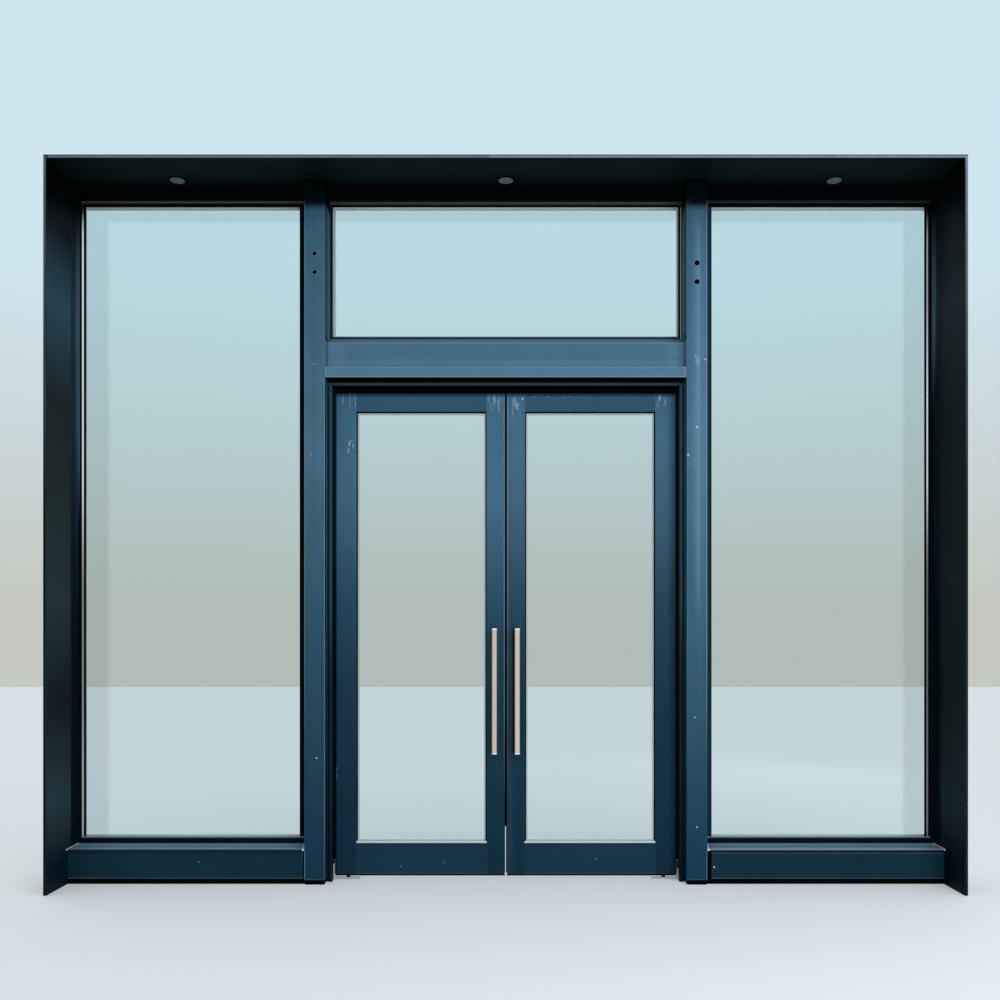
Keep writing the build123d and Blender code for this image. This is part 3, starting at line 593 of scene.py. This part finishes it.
jambLook = dict(
    darkFrameLook, heights=[(0.0, "#06131b"), (0.40, "#0d202c"), (0.68, "#132a38")],
    patches=[
        # the face lighter above and darker below, and darker still at the foot: painted shade by height
        patch("#344d5b", 0.95, {"Z": 260.0}, Y=jambFace, Z=(1.2, None)),
        patch("#1c303c", 0.95, {"Z": 260.0}, Y=jambFace, Z=(None, 1.2)),
        patch("#0b1b24", 0.6, 200.0, Z=(None, 0.45))])
# black all over but the front strip: painted shade in the gap over the leaves
headLook = dict(
    darkFrameLook, sheen=0.05, heights=[(0.0, "#010203")], patches=[patch("#33464f", 1.0, Y=jambFace)])

coats = {
    "powderCoatedAluminiumLeftUpright": (leftUprightLook, ["mullion_left"]),
    "powderCoatedAluminiumRightUpright": (rightUprightLook, ["mullion_right"]),
    "powderCoatedAluminiumTransom": (crossLook, ["transom", "transom_fascias", "transom_lip"]),
    "powderCoatedAluminiumLeftStiles": (leftStileLook, ["hinge_stile_left", "meeting_stile_left"]),
    "powderCoatedAluminiumRightStiles": (rightStileLook, ["hinge_stile_right", "meeting_stile_right"]),
    "powderCoatedAluminiumRails": (railLook, bothSides("top_rail", "bottom_rail")),
    "powderCoatedAluminiumJambs": (jambLook, bothSides("door_jamb")),
    "powderCoatedAluminiumDoorHead": (headLook, ["door_head"]),
    "darkCoatedAluminiumSideFrames": (sideFrameLook, bothSides("side_frame")),
    "darkCoatedAluminiumFanFrame": (fanFrameLook, ["fan_frame", "fan_beads"]),
    "darkCoatedAluminiumBeads": (weatherBarLook, bothSides("side_beads")),
    "darkCoatedAluminiumLeafBeads": (leafBeadLook, bothSides("leaf_beads")),
    "darkCoatedAluminiumPlinth": (plinthLook, bothSides("plinth_fascia")),
    "satinCoatedAluminiumSill": (sillLook, ["sills"]),
    "greyCoatedAluminiumTrim": (trimLook, ["edge_trim"]),
    "matDarkCoatedSheetLeftLining": (leftLiningLook, ["lining_left"]),
    "matDarkCoatedSheetRightLining": (liningLook, ["lining_right"]),
    "matDarkCoatedSheetReturns": (returnLook, ["lining_returns"]),
    "matDarkCoatedSheetSoffit": (soffitLook, ["soffit_panels"]),
    "blackPaintedSteel": (blackSteelLook, ["plinth_cores", "mullion_feet", "head_rail", "downlights"]),
}
for name, (look, pieces) in coats.items():
    dress(coatedAluminium(name, look), *pieces)
print("coated metals done")


# Clear float glass with a faint green-blue body tint: nearly clear square on, mirror-like at an angle
glassLook = {"tint": "#f1f8f8", "shadowTint": "#eef3f3", "ior": 1.52, "ripple": 900}       # ripple in mm


def floatGlass(name, look):
    material, tree = newMaterial(name)
    place = addNode(tree, "TexCoord").outputs["Object"]
    wave = addNode(tree, "TexNoise", {"Vector": place, "Scale": 1 / (look["ripple"] * mm), "Detail": 0.0})
    bump = addNode(tree, "Bump", {"Height": wave, "Strength": 0.005, "Distance": 1 * mm})
    glass = addNode(tree, "BsdfPrincipled", {
        "Base Color": look["tint"], "Roughness": 0.0, "IOR": look["ior"], "Transmission Weight": 1.0,
        "Normal": bump})
    clear = addNode(tree, "BsdfTransparent", {"Color": look["shadowTint"]})
    shadow = addNode(tree, "LightPath").outputs["Is Shadow Ray"]
    addNode(tree, "OutputMaterial", {"Surface": addNode(tree, "MixShader", {0: shadow, 1: glass, 2: clear})})
    return material


dress(floatGlass("clearFloatGlass", glassLook), "fan_glass", *bothSides("side_glass", "leaf_glass"))


# Rubber, bare metals and plastics: two tones in a fine grain, its size in mm
plainLook = {"roughness": 0.5, "metallic": 0.0, "sheen": 0.5, "patches": []}


def plainFinish(name, ownLook):
    look = {**plainLook, **ownLook}
    material, tree = newMaterial(name)
    place = addNode(tree, "TexCoord").outputs["Object"]
    grain = addNode(tree, "TexNoise", {"Vector": place, "Scale": 1 / (look["grain"] * mm), "Detail": 3.0})
    tone = addNode(tree, "Mix", {"Factor": grain, "A": look["dark"], "B": look["light"]}, data_type="RGBA")
    colour = tone.outputs["Result"]
    if look["patches"]:
        along = addNode(tree, "SeparateXYZ", {0: place}).outputs
        for paint in look["patches"]:
            colour = paint(tree, along, colour)
    gloss = addNode(tree, "MapRange", {"Value": grain, "To Min": look["roughness"] - 0.05,
                                       "To Max": look["roughness"] + 0.05})
    bump = addNode(tree, "Bump", {"Height": grain, "Strength": 0.08, "Distance": 0.3 * mm})
    shader = addNode(tree, "BsdfPrincipled", {
        "Base Color": colour, "Roughness": gloss, "Normal": bump,
        "Metallic": look["metallic"], "Specular IOR Level": look["sheen"]})
    addNode(tree, "OutputMaterial", {"Surface": shader})
    return material


# matt black gasket rubber, the darkest thing round the glass
sealRubber = plainFinish("extrudedRubberSeal", {
    "dark": "#020203", "light": "#050507", "grain": 5, "roughness": 0.8, "sheen": 0.08})
# white warm-edge spacer bar, a pale line inside the edge of each pane
paleSpacer = plainFinish("whiteWarmEdgeSpacer", {
    "dark": "#e6eaea", "light": "#f6f8f8", "grain": 30, "sheen": 0.3})
beadShade = patch("#0c1114", 0.9, 25.0, Z=(3.56, None))       # the ends of the beads under the soffit
# bright clip-on bead that mirrors the sky above; lower down, and more on the right, it is painted darker as
# painted shade
brightBead = plainFinish("satinAnodisedAluminiumBead", {
    "dark": "#f3f1ee", "light": "#fffdfa", "grain": 20, "roughness": 0.25, "metallic": 1.0,
    "patches": [
        patch("#8b9496", 0.95, 260.0, Z=(None, 1.85)), patch("#b0b2ae", 0.9, 180.0, Z=(None, 0.75)),
        patch("#a3a7a8", 0.9, {"Z": 250.0}, X=rightHalf, Z=(2.85, None)),
        patch("#6b7274", 0.85, {"Z": 250.0}, X=rightHalf, Z=(None, 1.85)),
        beadShade]})
# grey bead beside the fanlight's glass, pale grey as a painted glint on the edge
greyBead = plainFinish("greyAnodisedAluminiumBead", {
    "dark": "#9aa5ad", "light": "#acb7be", "grain": 20, "roughness": 0.4, "metallic": 0.1,
    "patches": [beadShade]})
# black rubber cover strips bedded on the glass, the one at the right mullion dark blue
blackStrip = plainFinish("blackRubberCoverStrip", {
    "dark": "#010305", "light": "#030709", "grain": 12, "roughness": 0.7, "sheen": 0.06,
    "patches": [patch("#203a49", 0.75, X=(1.0, 1.2))]})
# navy glazing strip at the foot of the fanlight
navyStrip = plainFinish("navyGlazingStrip", {
    "dark": "#3a505f", "light": "#435a6a", "grain": 30, "sheen": 0.15})
# zinc-plated floor plates, pale as the floor, with painted shadow, black, round the spindles under the leaves
# and high on the upstands
spindle = {"x": 0.841, "y": 0.125}      # axis of each leaf, from the centre line
zincPlate = plainFinish("zincPlatedFloorPlate", {
    "dark": "#dfe3e5", "light": "#f2f4f5", "grain": 4, "metallic": 0.1,
    "patches": [
        *[patch("#07090b", X=(x - 0.034, x + 0.034), Z=(0.009, None)) for x in (-spindle["x"], spindle["x"])],
        patch("#07090b", X=(None, -0.875), Z=(0.086, None)),
        patch("#07090b", X=(0.875, None), Z=(0.062, None))]})
# oiled dark steel of the concealed pivots and closers
darkSteel = plainFinish("oiledDarkSteelPivot", {
    "dark": "#0b0d0f", "light": "#15181b", "grain": 3, "sheen": 0.3})
# frosted cover, plain grey while the lamp is off
frostedLens = plainFinish("frostedPolycarbonateLens", {"dark": "#5f6c68", "light": "#7b8883", "grain": 9})
# drawn brass with a satin lacquer: warm, pale and soft along its whole length
satinBrass = plainFinish("satinLacqueredBrassPull", {
    "dark": "#e4c4a8", "light": "#f3d9c3", "grain": 12, "roughness": 0.36, "metallic": 0.45,
    "patches": [patch("#f6e4dc", 0.45, X=rightHalf)]})
# polished end caps of the pulls, white all over as a painted glint of the sky
capPaintedGlint = plainFinish("polishedCapPaintedGlint", {
    "dark": "#fbfaf8", "light": "#ffffff", "grain": 6, "roughness": 0.18, "metallic": 0.1})
# clear silicone pads at the foot of the leaf glass
paleSilicone = plainFinish("clearSiliconePad", {
    "dark": "#dfe9ed", "light": "#f7fbfc", "grain": 3, "roughness": 0.4})
# coat rubbed pale at the rims of the holes
rimCoat = plainFinish("rubbedCoatHoleRim", {
    "dark": "#5f7987", "light": "#7b95a3", "grain": 3, "roughness": 0.4})
# folded ends of the sills, nearly white as a painted highlight
sillEndHighlight = plainFinish("satinSillEndPaintedHighlight", {
    "dark": "#c9d3da", "light": "#eef3f6", "grain": 6, "roughness": 0.35})
dress(sealRubber, "head_brush", "fan_gaskets", *bothSides("side_gaskets", "leaf_seals"))
dress(darkSteel, "closers", *bothSides("pivots"))
dress(satinBrass, *bothSides("pull_handles"))
dress(zincPlate, "floor_pivots")
dress(frostedLens, "downlight_lenses")
print("glass, rubber and bare metals done")


# Small fittings that the photograph shows, built as meshes
def finishPiece(mesh, name, body, material):
    bmesh.ops.recalc_face_normals(mesh, faces=mesh.faces)
    data = bpy.data.meshes.new(name)
    mesh.to_mesh(data)
    mesh.free()
    data.materials.append(material)
    piece = bpy.data.objects.new(name, data)
    scene.collection.objects.link(piece)
    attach(piece, body)
    return piece


def bridge(mesh, here, there):
    # faces between two closed outlines with the same number of corners; a corner they share gives a triangle
    for index in range(len(here)):
        after = (index + 1) % len(here)
        corners = list(dict.fromkeys((here[index], here[after], there[after], there[index])))
        if len(corners) > 2:
            mesh.faces.new(corners)


def addTurned(mesh, section, centre, axis, steps=40):
    # a closed section of (radius, distance along the axis) in mm, turned about the axis
    axis = Vector(axis)
    across = axis.orthogonal().normalized()
    upwards = axis.cross(across)
    poles = {}
    rings = []
    for step in range(steps):
        angle = 2 * math.pi * step / steps
        out = across * math.cos(angle) + upwards * math.sin(angle)
        ring = []
        for index, (radius, along) in enumerate(section):
            corner = poles.get(index)
            if corner is None:
                corner = mesh.verts.new(Vector(centre) + (out * radius + axis * along) * mm)
            if radius == 0:
                poles[index] = corner       # all steps share a point on the axis
            ring.append(corner)
        rings.append(ring)
    for here, there in zip(rings, rings[1:] + rings[:1]):
        bridge(mesh, here, there)


def addDrawn(mesh, *outlines):
    # a bar through outlines with the same number of points, in metres, closed at both ends
    rings = [[mesh.verts.new(point) for point in outline] for outline in outlines]
    for here, there in zip(rings, rings[1:]):
        bridge(mesh, here, there)
    mesh.faces.new(list(reversed(rings[0])))
    mesh.faces.new(rings[-1])


def addLoop(mesh, low, high, section):
    # a closed rectangular loop round the box of two corners; the section is (inset, y) in metres
    rings = []
    for x, z, wayX, wayZ in ((low.x, low.z, 1, 1), (high.x, low.z, -1, 1), (high.x, high.z, -1, -1),
                             (low.x, high.z, 1, -1)):
        rings.append([mesh.verts.new((x + wayX * inset, y, z + wayZ * inset)) for inset, y in section])
    for here, there in zip(rings, rings[1:] + rings[:1]):
        bridge(mesh, here, there)


def roundedOutline(low, high, radius, steps=3):
    # a rectangle between two (u, v) corners in metres with rounded corners
    points = []
    lowU, highU, lowV, highV = low[0] + radius, high[0] - radius, low[1] + radius, high[1] - radius
    centres = (highU, highV), (lowU, highV), (lowU, lowV), (highU, lowV)
    for start, (centreU, centreV) in zip((0, 90, 180, 270), centres):
        for step in range(steps + 1):
            angle = math.radians(start + 90 * step / steps)
            points.append((centreU + radius * math.cos(angle), centreV + radius * math.sin(angle)))
    return points


def placed(outline, axis, place):
    # the (u, v) points of an outline at a place on the axis X, Y or Z
    spot = "XYZ".index(axis)
    return [(*point[:spot], place, *point[spot:]) for point in outline]


# rims and dark sleeves of the two fixing holes in each mullion, sizes in mm
holeLook = {"hole": 10.0, "collar": {"left": 11.6, "right": 13.6}, "rim": 2.6, "proud": 0.7, "sleeve": 16.0,
            "places": {"left": (-0.99604, (3.289, 3.191)), "right": (0.99604, (3.239, 3.141))}}
for side, (x, heights) in holeLook["places"].items():
    rims, sleeves = bmesh.new(), bmesh.new()
    hole, deep, proud = holeLook["hole"], -holeLook["sleeve"], holeLook["proud"]
    collar = holeLook["collar"][side]
    rim = collar + holeLook["rim"]
    for z in heights:
        centre = (x, uprightFront, z)
        addTurned(rims, [(collar + 0.1, 0.0), (collar + 0.1, proud * 0.6), (collar + 0.6, proud),
                         (rim - 0.9, proud), (rim, proud * 0.3), (rim, 0.0)], centre, (0, -1, 0))
        # the sleeve's dark collar lies on the face round the hole
        addTurned(sleeves, [(hole - 0.1, deep), (hole - 0.1, 0.02), (collar, 0.02), (collar, proud * 0.5),
                            (hole - 0.6, proud * 0.7), (hole - 1.0, proud * 0.4), (hole - 1.0, deep)],
                  centre, (0, -1, 0))
    finishPiece(rims, f"hole_rims_{side}", "frame", rimCoat)
    finishPiece(sleeves, f"hole_sleeves_{side}", "frame", sealRubber)

# spacer bars of the double glazed units: they stand for the CAD bars, and stop short of both panes so that
# their faces don't lie in the faces of the glass
barLook = {"clear": 0.3, "chamfer": 0.8, "wide": {"frame": 12.0, "leaf_left": 8.0, "leaf_right": 8.0}}
units = {"fan_spacer": "frame", "side_spacer_left": "frame", "side_spacer_right": "frame",
         "leaf_spacer_left": "leaf_left", "leaf_spacer_right": "leaf_right"}
for node, body in units.items():
    low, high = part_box(node)
    front, back = low.y + barLook["clear"] * mm, high.y - barLook["clear"] * mm
    cut, wide = barLook["chamfer"] * mm, barLook["wide"][body] * mm
    bars = bmesh.new()
    addLoop(bars, low, high, [(0, front), (wide - cut, front), (wide, front + cut), (wide, back - cut),
                              (wide - cut, back), (0, back)])
    name = node.replace("spacer", "spacer_bars")
    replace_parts(finishPiece(bars, name, body, paleSpacer), node)

# polished caps on both ends of each pull, outside and inside, white as a painted glint
capLook = {"bar": 13.5, "shell": 0.4, "length": 9.0, "fillet": 2.0, "clear": 0.05,
           "ends": (0.674, 1.336), "depths": (0.038, 0.212), "off": 0.060}
bar, shell, clear, fillet = (capLook[part] for part in ("bar", "shell", "clear", "fillet"))
outer = [(bar + shell, -capLook["length"])]
inner = [(bar + clear, -capLook["length"])]
for step in range(7):
    angle = math.radians(90 * step / 6)
    reach = (bar - fillet) + fillet * math.cos(angle)
    rise = -fillet + fillet * math.sin(angle)
    outer.append((reach + shell * math.cos(angle), rise + shell * math.sin(angle)))
    inner.append((reach + clear * math.cos(angle), rise + clear * math.sin(angle)))
capSection = inner + [(0, clear), (0, shell)] + list(reversed(outer))
for side, way in sides.items():
    caps = bmesh.new()
    for y in capLook["depths"]:
        for z, direction in zip(capLook["ends"], (-1, 1)):
            addTurned(caps, capSection, (way * capLook["off"], y, z), (0, 0, direction))
    finishPiece(caps, f"pull_caps_{side}", f"leaf_{side}", capPaintedGlint)


# strips and beads laid on the glass at its edge, as (inner edge, outer edge) from the centre line in metres;
# a bead's face is bevelled towards the middle, so that it mirrors the street and not the lining beside it
def addUprights(name, spans, look, material):
    made = bmesh.new()
    front, back = look["depth"]
    for near, far in spans:
        outline = roundedOutline((min(near, far), front), (max(near, far), back), look["round"] * mm)
        if "bevel" in look:
            step = math.copysign(look["round"] * mm, far - near)
            fall = look["bevel"] * mm
            outline = [(far, back), (far, front + abs(step)), (far - step, front),
                       (near + step, front + fall), (near, front + fall + abs(step)), (near, back)]
        addDrawn(made, placed(outline, "Z", look["bottom"]), placed(outline, "Z", look["top"]))
    finishPiece(made, name, "frame", material)


onGlass = {"depth": (0.1424, 0.1459), "round": 0.8, "top": 3.6036}      # a flat strip on the outer panes
# black cover strips on the side lights' glass, wide beside the mullions and narrow beside the bright beads
stripLook = dict(onGlass, bottom=0.2124, left=((-1.0581, -1.1055), (-2.2510, -2.2626), (-2.2712, -2.2727)),
                 right=((1.0581, 1.1030), (2.2435, 2.2544), (2.2619, 2.2727)))
# bright beads clipped in front of the glass edge beside the portal linings
beadLook = {"depth": (0.1376, 0.1459), "round": 0.5, "bevel": 4.0, "bottom": 0.2222, "top": 3.6036,
            "left": ((-2.2628, -2.2710),), "right": ((2.2546, 2.2617),)}
for side in sides:
    addUprights(f"glass_cover_strips_{side}", stripLook[side], stripLook, blackStrip)
    addUprights(f"clip_bead_{side}", beadLook[side], beadLook, brightBead)

# at the fanlight a grey bead at each end, and a black strip beside the right one
fanEdgeLook = dict(onGlass, bottom=2.9009,
                   bead=((-0.9262, -0.9336), (0.9298, 0.9336)), strip=((0.9235, 0.9296),))
addUprights("fan_edge_beads", fanEdgeLook["bead"], fanEdgeLook, greyBead)
addUprights("fan_strip_right", fanEdgeLook["strip"], fanEdgeLook, blackStrip)

# navy glazing strip along the foot of the fanlight's glass
footLook = dict(onGlass, across=0.9336, bottom=2.8882, height=12.5)
outline = roundedOutline((footLook["depth"][0], footLook["bottom"]),
                         (footLook["depth"][1], footLook["bottom"] + footLook["height"] * mm),
                         footLook["round"] * mm)
fanStrip = bmesh.new()
addDrawn(fanStrip, placed(outline, "X", -footLook["across"]), placed(outline, "X", footLook["across"]))
finishPiece(fanStrip, "fan_foot_strip", "frame", navyStrip)

# folded ends of the sills, against the linings and the mullions: widths in mm at the front and the back
sillEndLook = {"lining": 2.2898, "atLining": (6.5, 6.5), "atMullion": (12.0, 30.0), "round": 0.9,
               "rise": 2.4, "fall": 4.2, "front": -0.0113, "back": 0.131,
               "nose": 0.1775, "noseFall": 4.3, "noseProud": 0.6}
rise, radius = sillEndLook["rise"] * mm, sillEndLook["round"] * mm
frontZ, backZ = sillHigh - sillEndLook["fall"] * mm, sillHigh - 0.1 * mm
noseZ = sillHigh - sillEndLook["noseFall"] * mm
noseY = sillEndLook["front"] - sillEndLook["noseProud"] * mm
for side, way in sides.items():
    ends = bmesh.new()
    for edge, turn, widths in ((sillEndLook["lining"], -1, sillEndLook["atLining"]),
                               (uprightOut + 0.2 * mm, 1, sillEndLook["atMullion"])):
        low, high = sorted((way * edge, way * (edge + turn * widths[0] * mm)))
        farLow, farHigh = sorted((way * edge, way * (edge + turn * widths[1] * mm)))
        front = roundedOutline((low, frontZ), (high, frontZ + rise), radius)
        back = roundedOutline((farLow, backZ), (farHigh, backZ + rise), radius)
        addDrawn(ends, placed(front, "Y", sillEndLook["front"]), placed(back, "Y", sillEndLook["back"]))
        nose = roundedOutline((low, sillEndLook["nose"]), (high, noseZ), radius)
        addDrawn(ends, placed(nose, "Y", noseY), placed(nose, "Y", uprightFront - 0.05 * mm))
    finishPiece(ends, f"sill_ends_{side}", "frame", sillEndHighlight)

# silicone pads at the lower corners of the leaf glass: (inner end, outer end) from the centre line
padLook = {"height": 3.4, "round": 1.5, "depth": (0.0970, 0.0995), "z": 0.2000,
           "left": ((0.1045, 0.1480), (0.7830, 0.7935)), "right": ((0.0965, 0.1180), (0.7830, 0.7935))}
for side, way in sides.items():
    pads = bmesh.new()
    for near, far in padLook[side]:
        low, high = sorted((way * near, way * far))
        outline = roundedOutline((low, padLook["z"] - padLook["height"] * mm), (high, padLook["z"]),
                                 padLook["round"] * mm)
        addDrawn(pads, *[placed(outline, "Y", y) for y in padLook["depth"]])
    finishPiece(pads, f"glass_pads_{side}", f"leaf_{side}", paleSilicone)


def addBush(mesh, look, way, foot):
    # a rubber ring round a spindle with its lower edges rounded, sizes in mm
    bore, outside, height, edge = (look[part] for part in ("bore", "outside", "height", "edge"))
    section = [(bore, edge), (bore + edge, 0.0), (outside - edge, 0.0), (outside, edge), (outside, height),
               (bore, height)]
    addTurned(mesh, section, (way * spindle["x"], spindle["y"], foot), (0, 0, 1), 32)


# bushes round the top spindles, which close the cut-outs of the head brush
bushLook = {"bore": 10.4, "outside": 15.9, "edge": 0.6, "height": 35.0, "foot": 2.5868}
bushes = bmesh.new()
for way in sides.values():
    addBush(bushes, bushLook, way, bushLook["foot"])
finishPiece(bushes, "spindle_bushes", "frame", sealRubber)

# skirts round the bottom spindles, which close the gaps in the bottom seals and turn with the leaves
skirtLook = {"bore": 10.6, "outside": 15.9, "edge": 0.6, "height": 11.6}
for side, way in sides.items():
    skirt = bmesh.new()
    addBush(skirt, skirtLook, way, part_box(f"hinge_stile_{side}")[0].z - skirtLook["height"] * mm)
    finishPiece(skirt, f"spindle_skirt_{side}", f"leaf_{side}", sealRubber)

# frosted covers of the downlights, just proud of the bezels, and black rims that lap over the bezels
coverLook = {"radius": 37.6, "bezel": 43.6, "rim": 47.0, "lap": 2.0, "steps": 48,
             "centres": (-1.718, 0.0, 1.718), "y": 0.013, "z": 3.6779}
radius, bezel, rim, lap = (coverLook[part] for part in ("radius", "bezel", "rim", "lap"))
coverSection = [(0, 0.0), (0, 1.6), (radius * 0.5, 1.4), (radius * 0.85, 0.8), (radius, 0.2), (radius, 0.0)]
ringSection = [(radius + 0.1, 0.0), (radius + 0.1, 0.8), (radius + 1.0, 1.5), (rim - 1.2, 1.5), (rim, 0.6),
               (rim, -lap), (bezel, -lap), (bezel, 0.0)]
covers, rings = bmesh.new(), bmesh.new()
for x in coverLook["centres"]:
    for mesh, section in ((covers, coverSection), (rings, ringSection)):
        addTurned(mesh, section, (x, coverLook["y"], coverLook["z"]), (0, 0, -1), coverLook["steps"])
finishPiece(covers, "downlight_covers", "frame", frostedLens)
finishPiece(rings, "downlight_rings", "frame", sealRubber)

# pile of the meeting brush with its toothed edge, and the black fins that narrow the gap under it
pileLook = {"root": -0.45, "reach": 0.5, "deep": (0.1228, 0.1272), "bottom": 0.282, "top": 2.584,
            "tooth": 14.0}
pileTall = pileLook["top"] - pileLook["bottom"]
teeth = int(pileTall / (pileLook["tooth"] * mm))
outlines = []
for index in range(2 * teeth + 1):
    root = pileLook["root"] * mm
    out = (pileLook["reach"] if index % 2 else 0.8 * pileLook["reach"]) * mm
    front, back = pileLook["deep"]
    outlines.append(placed([(root, front), (out, front), (out, back), (root, back)], "Z",
                           pileLook["bottom"] + pileTall * index / (2 * teeth)))
pile = bmesh.new()
addDrawn(pile, *outlines)
finishPiece(pile, "meeting_pile_left", "leaf_left", sealRubber)

finLook = {"reach": {"left": 1.8, "right": 5.4}, "root": 0.3, "round": 0.8, "deep": (0.1215, 0.1285),
           "ends": (0.034, 0.279)}
for side, way in sides.items():
    fins = bmesh.new()
    low, high = sorted(way * (meetEdge + reach * mm) for reach in (finLook["root"], -finLook["reach"][side]))
    outline = roundedOutline((low, finLook["deep"][0]), (high, finLook["deep"][1]), finLook["round"] * mm)
    addDrawn(fins, *[placed(outline, "Z", z) for z in finLook["ends"]])
    finishPiece(fins, f"meeting_fins_{side}", f"leaf_{side}", sealRubber)
print("small fittings made")
